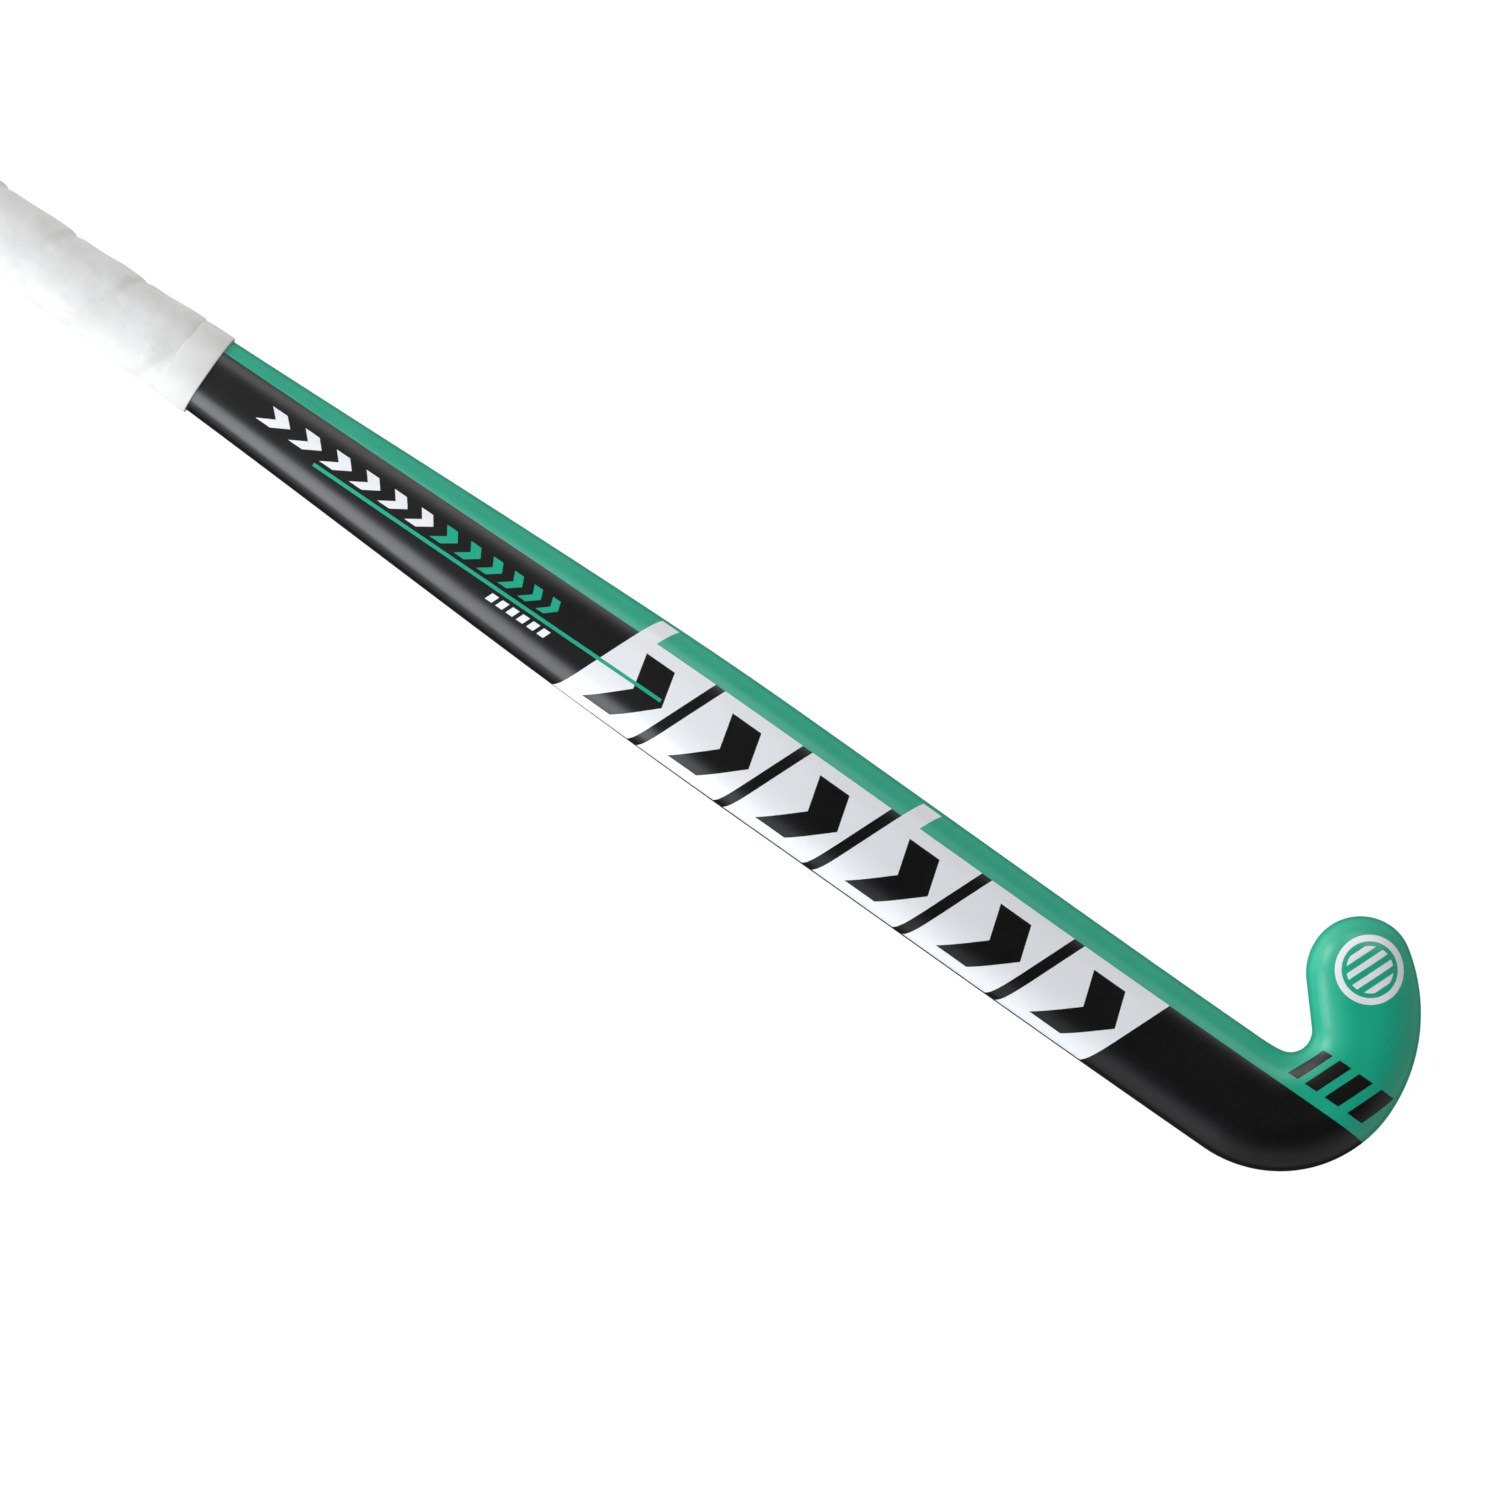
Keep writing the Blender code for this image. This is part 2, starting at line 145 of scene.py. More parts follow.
def surface_height(x, depth, inset, on_back):
    """Height at a depth inside the edge, on a surface that lies inset under the outside. The rounding is
    a superellipse: rise to the power p plus (1 - depth share) to the power p make 1."""
    flat = flatness(x)
    thickness = HANDLE_THICKNESS + (SHAFT_THICKNESS - HANDLE_THICKNESS) * flat
    widest = (1 - flat) * thickness / 2 + flat * WIDEST_HEIGHT
    power = np.where(on_back, CROWN_POWER, OVAL_POWER)
    outside = 1 - np.clip(depth / rounded_width(x, inset, on_back), 0.0, 1.0)
    rise = (1 - outside**power) ** (1 / power)
    limit = np.where(on_back, thickness - inset, inset)
    return bow(x) + widest + (limit - widest) * rise


# %% [markdown]
# ## The outline of the head
#
# Seen from above, the head is two edges that leave the shaft side by side and meet at the toe's tip. A
# maker would draw them with a compass, as straight lines and arcs that run on without a corner. So an
# edge is a list of runs, each with a length and a turn, and its heading changes evenly along a run.

# %% Edges as runs of length and turn
HEAD_START = LENGTH - 65 * MM
EDGE_STEP = 0.25 * MM


def arc(radius, turn):
    """A run along a circle: its length is the radius times the turn."""
    return radius * abs(math.radians(turn)), turn


def trace(start, runs):
    """Follows the runs from a start along +X. The heading is straight between the ends of the runs, and
    each point is the sum of the steps before it, taken along the heading at their middles."""
    lengths, turns = np.array(runs, float).T
    ends = np.concatenate([[0.0], np.cumsum(lengths)])
    along = np.union1d(np.arange(0.0, ends[-1], EDGE_STEP), ends)
    heading = np.interp(along, ends, np.concatenate([[0.0], np.cumsum(np.radians(turns))]))
    middle = (heading[1:] + heading[:-1]) / 2
    steps = np.diff(along)[:, None] * np.stack([np.cos(middle), np.sin(middle)], axis=1)
    points = np.array(start) + np.concatenate([[[0.0, 0.0]], np.cumsum(steps, axis=0)])
    return {"ends": ends, "along": along, "heading": heading, "points": points}


# %% The heel side and the toe side
HEEL_RADIUS = 51.5 * MM
TOE_BACK = (68.0 * MM, 56.0)
TIP_HEEL_RADIUS = 18.5 * MM
TIP_THROAT_RADIUS = 20.5 * MM
TOE_FRONT_RADIUS = 23.0 * MM
TOE_LEAN = 41.0
THROAT_RADIUS = 8.5 * MM
THROAT_EASE = (60.0 * MM, 8.0)

heel_runs = [
    (LENGTH - HEAD_START - HEEL_RADIUS, 0),
    arc(HEEL_RADIUS, 90),
    arc(*TOE_BACK),
    arc(TIP_HEEL_RADIUS, 90 - TOE_BACK[1]),
]


def toe_runs(shaft_run, flank_run):
    """Along the shaft, through the throat, back along the toe's flank and over its tip."""
    return [
        (shaft_run, 0),
        arc(*THROAT_EASE),
        arc(THROAT_RADIUS, 90 + TOE_LEAN - THROAT_EASE[1]),
        (flank_run, 0),
        arc(TOE_FRONT_RADIUS, -TOE_LEAN),
        arc(TIP_THROAT_RADIUS, -90),
    ]


heel = trace((HEAD_START, -SHAFT_HALF_WIDTH), heel_runs)
first_try = trace((HEAD_START, SHAFT_HALF_WIDTH), toe_runs(0, 0))
miss = heel["points"][-1] - first_try["points"][-1]
flank_angle = math.radians(90 + TOE_LEAN)
flank_run = miss[1] / math.sin(flank_angle)
shaft_run = miss[0] - flank_run * math.cos(flank_angle)
toe_list = toe_runs(shaft_run, flank_run)
toe = trace((HEAD_START, SHAFT_HALF_WIDTH), toe_list)
print("straight runs, mm:", round(shaft_run / MM, 2), round(flank_run / MM, 2))
print("the tips miss by, mm:", np.round((heel["points"][-1] - toe["points"][-1]) / MM, 4))

# %% [markdown]
# ## How deep a point lies inside the outline
#
# The height of the crown depends only on the distance to the nearest edge. A distance to a polygon would
# leave faint creases that a satin paint shows at once, so the distance is taken to the true lines and
# arcs. On its own edges the distance must come out as nothing, which the last line checks.

# %% Exact distance to a chain of lines and arcs
def distance_to_edge(plan, edge, runs):
    """The least distance to any run. On a line the point is projected along it. On an arc the turn from
    its start to the point, seen from the centre, says where the nearest point is."""
    nearest = np.full(plan.shape[:-1], np.inf)
    for number, (length, turn) in enumerate(runs):
        at = np.searchsorted(edge["along"], edge["ends"][number])
        start, heading = edge["points"][at], edge["heading"][at]
        left = np.array([-math.sin(heading), math.cos(heading)])
        if turn == 0:
            ahead = np.array([math.cos(heading), math.sin(heading)])
            least = -LENGTH if number == 0 else 0.0
            share = np.clip((plan - start) @ ahead, least, length)
            close = start + share[..., None] * ahead
        else:
            radius = length / math.radians(turn)
            centre = start + radius * left
            away = (plan - centre) * math.copysign(1, turn)
            seen = np.arctan2(away @ np.array([math.cos(heading), math.sin(heading)]), -(away @ left))
            seen = np.clip(seen, *sorted((0.0, math.radians(turn))))
            now = heading + seen
            close = centre + radius * np.stack([np.sin(now), -np.cos(now)], axis=-1)
        nearest = np.minimum(nearest, np.linalg.norm(plan - close, axis=-1))
    return nearest


def depth_in_head(plan):
    """Distance inside the outline, whichever edge is nearer."""
    return np.minimum(distance_to_edge(plan, toe, toe_list), distance_to_edge(plan, heel, heel_runs))


on_both = np.concatenate([toe["points"], heel["points"]])
print("largest error on the edges, mm:", round(float(depth_in_head(on_both).max()) / MM, 4))

# %% [markdown]
# ## Stations: where the rings go
#
# A surface of rings follows the shaft, and then fans round the throat like the pages of a book. Each
# ring is hung between a point on the toe side and its partner on the heel side. Along the shaft the
# partners face each other. In the head they are paired at a few listed knots, such as the middle of the
# throat with the middle of the heel, and evenly between them.

# %% Paired points on the two edges
SHAFT_STEP = 2.5 * MM
HEEL_HEADINGS = (18.0, 50.0, 84.0, 104.0, 124.0)
HEAD_STEPS = (15, 26, 26, 20, 18, 40)


def on_edge(edge, along):
    """Points of an edge, and the direction that turns its heading a quarter to the left."""
    point = np.stack([np.interp(along, edge["along"], edge["points"][:, i]) for i in (0, 1)], axis=1)
    heading = np.interp(along, edge["along"], edge["heading"])
    return point, np.stack([-np.sin(heading), np.cos(heading)], axis=1)


def head_pairs():
    """Partners in the head. The share runs through the knots, and slows like a sine towards the tip."""
    throat_middle = (toe["ends"][2] + toe["ends"][3]) / 2
    toe_knots = [0.0, toe["ends"][2], throat_middle, *toe["ends"][3:]]
    heel_turns = np.interp(np.radians(HEEL_HEADINGS), heel["heading"], heel["along"])
    heel_knots = [0.0, *heel_turns, heel["along"][-1]]
    parts = [i + np.arange(1, steps + 1) / steps for i, steps in enumerate(HEAD_STEPS)]
    last = len(HEAD_STEPS) - 1
    parts[last] = last + np.sin((parts[last] - last) * math.pi / 2)
    share, knots = np.concatenate(parts), np.arange(len(HEAD_STEPS) + 1)
    toe_point, toe_out = on_edge(toe, np.interp(share, knots, toe_knots))
    heel_point, heel_in = on_edge(heel, np.interp(share, knots, heel_knots))
    return toe_point, heel_point, toe_out, -heel_in


def all_pairs(start, step=SHAFT_STEP):
    """Partners along the shaft from a start, and then those of the head."""
    x = np.linspace(start, HEAD_START, round((HEAD_START - start) / step))
    wide, out = half_width(x), np.tile([0.0, 1.0], (len(x), 1))
    shaft = np.stack([x, wide], axis=1), np.stack([x, -wide], axis=1), out, -out
    return [np.concatenate(two) for two in zip(shaft, head_pairs())]


# %% [markdown]
# ## Rings of the laminate
#
# Round a ring, the points stand closest where the surface bends most. On the rounded part they are set
# at equal turns, as on a circle, and the flat part needs only its two ends and its middle. How much of a
# ring is rounded depends on how deep its middle lies inside the outline: near the tip of the toe, where
# even the middle is close to the edge, all of it is.

# %% Places round a ring
BACK_QUARTER = 26
FACE_QUARTER = 13
WIDEST_REACH = 0.97


def half_places(x, middle_depth, inset, on_back, quarter):
    """Shares of the half width from 1 at the edge to 0 in the middle: 1 - reach (1 - cos turn)."""
    turn = np.arange(quarter) * (np.pi / 2) / (quarter - flatness(x)[:, None])
    reach = rounded_width(x, inset, on_back) / np.maximum(middle_depth, 0.1 * MM)
    share = 1 - np.minimum(reach, WIDEST_REACH)[:, None] * (1 - np.cos(turn))
    return np.column_stack([share, np.zeros(len(x))])


def ring_places(x, middle_depth, inset, back_quarter=BACK_QUARTER, face_quarter=FACE_QUARTER):
    """Whole rings: from the toe side over the back to the heel side, and home by the face."""
    back = half_places(x, middle_depth, inset, True, back_quarter)
    face = half_places(x, middle_depth, inset, False, face_quarter)
    across = np.concatenate([back, -back[:, -2::-1], -face[:, 1:], face[:, -2:0:-1]], axis=1)
    return across, np.arange(across.shape[1]) <= 2 * back_quarter


def laminate_rings(pairs, inset):
    """Points of every ring on a surface that lies inset under the outside: straight across from partner
    to partner in plan, at the height that the depth there gives."""
    toe_point, heel_point, toe_out, heel_out = pairs
    upper, lower = toe_point - toe_out * inset, heel_point - heel_out * inset
    middle, reach = (upper + lower) / 2, (upper - lower) / 2
    in_head = toe_point[:, 0] > HEAD_START - SHAFT_STEP
    middle_depth = half_width(middle[:, 0]) - inset
    middle_depth[in_head] = depth_in_head(middle[in_head]) - inset
    across, on_back = ring_places(middle[:, 0], middle_depth, inset)
    plan = middle[:, None, :] + reach[:, None, :] * across[:, :, None]
    depth = np.linalg.norm(reach, axis=1)[:, None] * (1 - np.abs(across))
    depth[in_head] = depth_in_head(plan[in_head]) - inset
    depth[np.abs(across) == 1] = 0.0
    height = surface_height(plan[:, :, 0], depth, inset, on_back)
    return np.concatenate([plan, height[:, :, None]], axis=2)


# %% [markdown]
# ## From rings to a mesh
#
# A stack of rings is a grid of points, and its faces follow from the numbers of the points alone. A
# spindle, such as the skin, ends in a point at both ends. A sleeve closes back on its own first ring.

# %% A mesh from a grid of points
def new_object(name, data):
    """An object at the origin, in the scene."""
    made = bpy.data.objects.new(name, data)
    bpy.context.scene.collection.objects.link(made)
    return made


def grid_faces(rows, columns, closed):
    """Four corners of each face between ring i and ring i + 1, numbered so that it looks outwards when
    the rings advance along +X and go from +Y over +Z. A closed grid joins its last ring to its first."""
    i, j = np.meshgrid(np.arange(rows if closed else rows - 1), np.arange(columns), indexing="ij")
    there, across = (i + 1) % rows, (j + 1) % columns
    corners = [i * columns + j, i * columns + across, there * columns + across, there * columns + j]
    return np.stack([c.ravel() for c in corners], axis=1)


def fan_faces(ring_start, columns, pole, ahead):
    """Triangles from a ring to a pole that lies ahead of it along +X, or behind it."""
    here = ring_start + np.arange(columns)
    there = ring_start + (np.arange(columns) + 1) % columns
    tip = np.full(columns, pole)
    return np.stack([here, there, tip] if ahead else [there, here, tip], axis=1)


def make_piece(name, points, quads, fans, slot, replaced, uv=None, values=()):
    """A smooth piece in the stick's own axes, moved to the frame, that stands for the CAD node."""
    corners = np.concatenate([quads.ravel(), fans.ravel()]).astype(np.int32)
    sizes = np.concatenate([np.full(len(quads), 4), np.full(len(fans), 3)])
    mesh = bpy.data.meshes.new(name)
    mesh.vertices.add(len(points))
    mesh.vertices.foreach_set("co", (points + BUTT).astype(np.float32).ravel())
    mesh.loops.add(len(corners))
    mesh.loops.foreach_set("vertex_index", corners)
    mesh.polygons.add(len(sizes))
    mesh.polygons.foreach_set("loop_start", np.concatenate([[0], np.cumsum(sizes)[:-1]]).astype(np.int32))
    mesh.update(calc_edges=True)
    mesh.shade_smooth()
    if uv is not None:
        layer = mesh.uv_layers.new(name="print")
        layer.uv.foreach_set("vector", uv[corners].astype(np.float32).ravel())
    for key, value in dict(values).items():
        layer = mesh.attributes.new(key, "FLOAT", "POINT")
        layer.data.foreach_set("value", value.astype(np.float32).ravel())
    made = new_object(name, mesh)
    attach(made, "root")
    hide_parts(replaced)
    mesh.calc_loop_triangles()
    print(name, "triangles:", len(mesh.loop_triangles))
    return made


# %% Spindles and sleeves
NO_FANS = np.zeros((0, 3), int)


def make_spindle(name, rings, tips, slot, replaced, **layers):
    """Rings whose first and last are closed by fans that meet at two tips."""
    count, columns = rings.shape[:2]
    points = np.concatenate([rings.reshape(-1, 3), tips])
    fans = np.concatenate([
        fan_faces(0, columns, count * columns, False),
        fan_faces((count - 1) * columns, columns, count * columns + 1, True),
    ])
    quads = grid_faces(count, columns, closed=False)
    return make_piece(name, points, quads, fans, slot, replaced, **layers)


def make_sleeve(name, rows, slot, replaced):
    """A closed ring of rings: the outside from the start to the end, and home by the inside."""
    quads = grid_faces(*rows.shape[:2], closed=True)
    return make_piece(name, rows.reshape(-1, 3), quads, NO_FANS, slot, replaced)


# %% [markdown]
# ## The painted skin
#
# The skin is one moulded wall, 1.6 mm thick, from the plug at the butt to the toe's tip. Its mesh starts
# inside at the tip, runs back along the inner wall, turns round the open end at the butt and returns
# along the outside, so it is one closed surface. The print has a map of its own, in which it keeps its
# size where the sides fall away.

# %% Inner and outer wall
SKIN_WALL = 1.6 * MM
SKIN_START = 4.3 * MM
COLUMNS = 2 * (BACK_QUARTER + FACE_QUARTER)

outer_wall = laminate_rings(all_pairs(SKIN_START), 0.0)
inner_wall = laminate_rings(all_pairs(SKIN_START, step=10 * MM), SKIN_WALL)
print("outer and inner rings:", len(outer_wall), len(inner_wall))


# %% The map of the print
def length_round(rings):
    """How far along its ring each point lies, and the length of the whole ring."""
    steps = np.linalg.norm(np.diff(rings, axis=1, append=rings[:, :1]), axis=2)
    along = np.concatenate([np.zeros((len(rings), 1)), np.cumsum(steps, axis=1)[:, :-1]], axis=1)
    return along, steps.sum(axis=1, keepdims=True)


def print_map(rings):
    """Plan places, moved along the ring by the length over the surface less the length in plan, both
    counted from the ring's middle on the same side. Also, which points are on the back."""
    along, _ = length_round(rings)
    back_middle, face_middle = BACK_QUARTER, 2 * BACK_QUARTER + FACE_QUARTER
    on_back = np.arange(COLUMNS) <= 2 * BACK_QUARTER
    over = np.where(on_back, along[:, [back_middle]] - along, along - along[:, [face_middle]])
    plan = rings[:, :, :2]
    direction = plan[:, 0] - plan[:, 2 * BACK_QUARTER]
    size = np.linalg.norm(direction, axis=1, keepdims=True)
    direction = np.where(size > 1e-9, direction / np.maximum(size, 1e-9), [0.0, 1.0])[:, None, :]
    middle = np.where(on_back[None, :, None], plan[:, [back_middle]], plan[:, [face_middle]])
    flat = ((plan - middle) * direction).sum(axis=2)
    return plan + direction * (over - flat)[:, :, None], np.tile(on_back, (len(rings), 1))


# %% Where green meets black
TRIM_LOW = 9.0 * MM
TRIM_RISE = 3.35 * MM
TRIM_START, TRIM_RUN = 340 * MM, 300 * MM


def trim_line(x):
    """How far from the middle line the green starts: it opens out as the handle widens to the shaft."""
    return TRIM_LOW + TRIM_RISE * smooth((x - TRIM_START) / TRIM_RUN)


# %% The skin as one piece
rings = np.concatenate([inner_wall[-2::-1], outer_wall[:-1]])
tips = np.stack([inner_wall[-1, 0], outer_wall[-1, 0]])
place, on_back = print_map(rings)
past_trim = rings[:, :, 1] - trim_line(rings[:, :, 0])
skin = make_spindle(
    "painted_skin",
    rings,
    tips,
    "painted_laminate",
    "outer_skin",
    uv=np.concatenate([place.reshape(-1, 2), tips[:, :2]]),
    values={"side": np.append(on_back, [1.0, 1.0]), "trim": np.append(past_trim, [1.0, 1.0])},
)

# %% [markdown]
# ## Sums that become nodes
#
# A material is a small program of nodes. Here a node's output is held as a Signal, and a sum written with
# Signals adds the nodes that work it out. So a pattern reads as its formula, and a mask as a question,
# where & stands for and, | for or, and ~ for not.

# %% A signal and its sums
class Signal:
    """A number, a place or a colour that a node gives at every point of a surface."""

    def __init__(self, socket):
        self.socket = socket
        self.tree = socket.id_data

    def calc(self, operation, *others):
        """One Math node, with this signal first."""
        return work_out(self.tree, "ShaderNodeMath", 0, enumerate((self, *others)), operation=operation)

    def __invert__(self):
        return self.calc("MULTIPLY_ADD", -1.0, 1.0)

    def __abs__(self):
        return self.calc("ABSOLUTE")


SIGNS = {
    "__add__": "ADD",
    "__sub__": "SUBTRACT",
    "__mul__": "MULTIPLY",
    "__truediv__": "DIVIDE",
    "__mod__": "FLOORED_MODULO",
    "__gt__": "GREATER_THAN",
    "__lt__": "LESS_THAN",
    "__and__": "MULTIPLY",
    "__or__": "MAXIMUM",
}
for sign, operation in SIGNS.items():
    setattr(Signal, sign, functools.partialmethod(Signal.calc, operation))


# %% Nodes and their inputs
def feed(node, values):
    """Gives each input, by its name or number, a signal or a plain value."""
    for key, value in values.items():
        if isinstance(value, Signal):
            node.id_data.links.new(value.socket, node.inputs[key])
        else:
            node.inputs[key].default_value = value


def work_out(tree, kind, output, values=(), **settings):
    """Adds a node, sets it, feeds its inputs and gives one of its outputs as a signal."""
    made = tree.nodes.new(kind)
    for key, value in settings.items():
        setattr(made, key, value)
    feed(made, dict(values))
    return Signal(made.outputs[output])


def three_parts(place):
    """A place as three signals: along the stick, across it and up."""
    first = work_out(place.tree, "ShaderNodeSeparateXYZ", 0, {0: place})
    return [Signal(part) for part in first.socket.node.outputs]


# %% Short words for common nodes
def between(value, low, high):
    """On where a value lies between two limits."""
    return (value > low) & (value < high)


def shift(value, low, high, to_low=0.0, to_high=1.0):
    """Moves a value from one range to another, and holds it at both ends."""
    limits = enumerate((value, low, high, to_low, to_high))
    return work_out(value.tree, "ShaderNodeMapRange", "Result", limits)


def blend(share, under, over):
    """Lays one colour over another by a share from 0 to 1."""
    values = {"Factor": share, "A": under, "B": over}
    return work_out(share.tree, "ShaderNodeMix", "Result", values, data_type="RGBA")


def noise(place, size, detail=2.0, roughness=0.5):
    """Uneven value round 0.5 whose patches are about this many metres across."""
    values = {"Vector": place, "Scale": 1 / size, "Detail": detail, "Roughness": roughness}
    return work_out(place.tree, "ShaderNodeTexNoise", "Fac", values)


def cells(place, size, **settings):
    """Distances in a pattern of cells that are about this many metres across."""
    values = {"Vector": place, "Scale": 1 / size}
    return work_out(place.tree, "ShaderNodeTexVoronoi", "Distance", values, **settings)


def stretched(place, *scale):
    """The same place with each axis drawn out or pressed together."""
    return work_out(place.tree, "ShaderNodeMapping", "Vector", {"Vector": place, "Scale": scale})


def bump(height, distance, strength=1.0, under=None):
    """Dents a surface by a height from 0 to 1 times a distance in metres."""
    values = {"Height": height, "Distance": distance, "Strength": strength}
    if under is not None:
        values["Normal"] = under
    return work_out(height.tree, "ShaderNodeBump", "Normal", values)


# %% A new finish
def start_finish(name):
    """A new finish: its material, its shader, and the place on the object."""
    material = bpy.data.materials.new(name)
    material.use_nodes = True
    tree = material.node_tree
    return material, tree.nodes["Principled BSDF"], work_out(tree, "ShaderNodeTexCoord", "Object")


def wear_finish(piece, material):
    piece.data.materials.clear()
    piece.data.materials.append(material)


# %% [markdown]
# ## The print
#
# The print is a row of slanted white fields that grow a little towards the head, with a dark chevron in
# each, and a finer row of chevrons over a pinstripe up the handle. When each bar of a row is wider than
# the last by the same amount, they start at the sums 0, p, 2p + g, 3p + 3g and so on, which is a square
# law. Turned round, a square root says which bar a place belongs to, so one sum draws a whole row.

# %% Bars that grow, and chevrons
def bar_number(along, start, pitch, growth):
    """Which bar a place belongs to, as a number whose fraction is the place inside the bar: with
    b = pitch - growth / 2, it is (root of (b squared + 2 growth (along - start)) - b) / growth."""
    base = pitch - growth / 2
    square = (along - start) * (2 * growth) + base * base
    return (square.calc("MAXIMUM", 0.0).calc("SQRT") - base) / growth


def chevrons(share, off_middle, lean, limits, reach):
    """A chevron in each bar: a band whose place in the bar is put back by the distance from the middle."""
    return between(share + off_middle * lean, *limits) & (off_middle < reach)


# %% The paint starts, with the axes of its print
# The fields are slanted, and the small print follows a line that is turned a little.
SLANT = math.tan(math.radians(22))
LINE_RISE = 0.0100
LINE_START = 450 * MM

satin_paint, shader, spot = start_finish("satin_paint")
tree = satin_paint.node_tree
along, across, _ = three_parts(work_out(tree, "ShaderNodeUVMap", "UV", uv_map="print"))
slanted = along - across * SLANT
line = across - (along - LINE_START) * LINE_RISE
is_green = work_out(tree, "ShaderNodeAttribute", "Fac", attribute_name="trim") > 0.0
on_back = work_out(tree, "ShaderNodeAttribute", "Fac", attribute_name="side") > 0.5

# %% Slanted fields with a dark chevron each, and tall corners on two that cross the green
FIELD_START, FIELD_PITCH, FIELD_GROWTH, FIELD_COUNT = 582 * MM, 39.4 * MM, 1.0 * MM, 6
FIELD_FILL, FIELD_LOW = 0.89, -28 * MM
CHEVRON, CHEVRON_LEAN = (0.46, 0.79), 0.0165 / MM
CHEVRON_MIDDLE, CHEVRON_REACH = -7.0 * MM, 14.0 * MM
TALL_FIELDS, TALL_WIDTH, TALL_REACH = (0.0, 3.0), 0.2, 23.5 * MM

number = bar_number(slanted, FIELD_START, FIELD_PITCH, FIELD_GROWTH)
whole, share = number.calc("FLOOR"), number.calc("FRACT")
chevron = chevrons(share, abs(across - CHEVRON_MIDDLE), CHEVRON_LEAN, CHEVRON, CHEVRON_REACH)
drawn = (share < FIELD_FILL) & ~chevron & between(number, 0.0, FIELD_COUNT) & (across > FIELD_LOW)
first, second = (whole.calc("COMPARE", tall, 0.1) for tall in TALL_FIELDS)
corner = (first | second) & (share < TALL_WIDTH) & (across < TALL_REACH)
fields = drawn & (~is_green | corner)

# %% Finer chevrons that shrink as they go, white at first and then green
ROW_START, ROW_PITCH, ROW_GROWTH, ROW_COUNT = 422 * MM, 14.9 * MM, -0.65 * MM, 12
ROW_WHITE = 6
ROW_MIDDLE, ROW_REACH = -0.45 * MM, 3.7 * MM
ROW_CHEVRON, ROW_LEAN = (0.42, 0.86), 0.095 / MM

number = bar_number(slanted, ROW_START, ROW_PITCH, ROW_GROWTH)
row = chevrons(number.calc("FRACT"), abs(line - ROW_MIDDLE), ROW_LEAN, ROW_CHEVRON, ROW_REACH)
row = row & between(number, 0.0, ROW_COUNT)
is_white = number < ROW_WHITE

# %% The ticks and the pinstripe below them
STRIPE_SIDES, STRIPE_ENDS = (-7.15 * MM, -5.75 * MM), (449.3 * MM, 608.4 * MM)
TICK_PITCH, TICK_FILL = 4.7 * MM, 0.64
TICK_SIDES, TICK_ENDS = (-11.9 * MM, -8.6 * MM), (536.0 * MM, 563.5 * MM)

ticks = ((slanted - TICK_ENDS[0]) / TICK_PITCH).calc("FRACT") < TICK_FILL
ticks = ticks & between(line, *TICK_SIDES) & between(slanted, *TICK_ENDS)
stripe = between(line, *STRIPE_SIDES) & between(along, *STRIPE_ENDS)

# %% Black bars on the green of the head
BARS_START, BARS_PITCH, BARS_GROWTH, BARS_COUNT = 878 * MM, 7.6 * MM, 1.5 * MM, 4
BARS_FILL, BARS_SIDES = 0.62, (17.4 * MM, 32.4 * MM)

number = bar_number(slanted, BARS_START, BARS_PITCH, BARS_GROWTH)
bars = (number.calc("FRACT") < BARS_FILL) & between(number, 0.0, BARS_COUNT) & between(across, *BARS_SIDES)

# %% A roundel on the toe: a ring round slanted bars, both told by the distance from its middle
MARK_MIDDLE = (888.7 * MM, 67.6 * MM)
MARK_RING, MARK_INSIDE = (10.9 * MM, 13.5 * MM), 9.1 * MM
MARK_START = MARK_MIDDLE[0] - SLANT * MARK_MIDDLE[1] + 1.3 * MM
MARK_PITCH, MARK_FILL = 5.2 * MM, 0.5

over, up = along - MARK_MIDDLE[0], across - MARK_MIDDLE[1]
away = (over * over + up * up).calc("SQRT")
mark = ((slanted - MARK_START) / MARK_PITCH).calc("FRACT") < MARK_FILL
mark = mark & (away < MARK_INSIDE) | between(away, *MARK_RING)

# %% [markdown]
# ## Satin paint
#
# The stick is sprayed black and green, printed white and sealed with a satin lacquer. The lacquer is a
# thin coat on the shader. Under it the colour drifts a little, and the surface is not quite true: fine
# orange peel from the spray, and slow waves from the layers of cloth below. Both show in the highlight
# long before they show in the shape.

# %% Colours
BLACKS = ((0.0010, 0.0010, 0.0014, 1), (0.0020, 0.0020, 0.0026, 1))
GREENS = ((0.0045, 0.380, 0.228, 1), (0.0080, 0.455, 0.274, 1))
WHITES = ((0.85, 0.865, 0.89, 1), (0.885, 0.895, 0.915, 1))

drift = noise(spot, 18 * MM, detail=3.0)
mottle = noise(spot, 1.1 * MM, detail=3.0, roughness=0.65)
green = blend(shift(drift * 0.4 + mottle * 0.6, 0.3, 0.7), *GREENS)
black = blend(shift(mottle, 0.3, 0.7), *BLACKS)
white = blend(shift(mottle, 0.3, 0.75), *WHITES)
colour = blend(is_green, black, green)
all_white = fields | row & is_white | ticks | mark
for mask, paint in ((row & ~is_white, green), (all_white, white), (stripe, green), (bars, black)):
    colour = blend(on_back & mask, colour, paint)

# %% Lacquer
SATIN = 0.35

uneven = shift(drift, 0.3, 0.7, -0.02, 0.02) + shift(mottle, 0.3, 0.7, -0.05, 0.05)
waves = bump(noise(spot, 14 * MM, detail=1.0), 0.10 * MM)
feed(shader, {
    "Base Color": colour,
    "Roughness": uneven + SATIN,
    "Normal": bump(noise(spot, 0.9 * MM), 0.017 * MM, under=waves),
    "Specular IOR Level": 0.38,
    "Coat Weight": 0.55,
    "Coat Roughness": 0.28,
})
wear_finish(skin, satin_paint)
print("nodes in the paint:", len(tree.nodes))

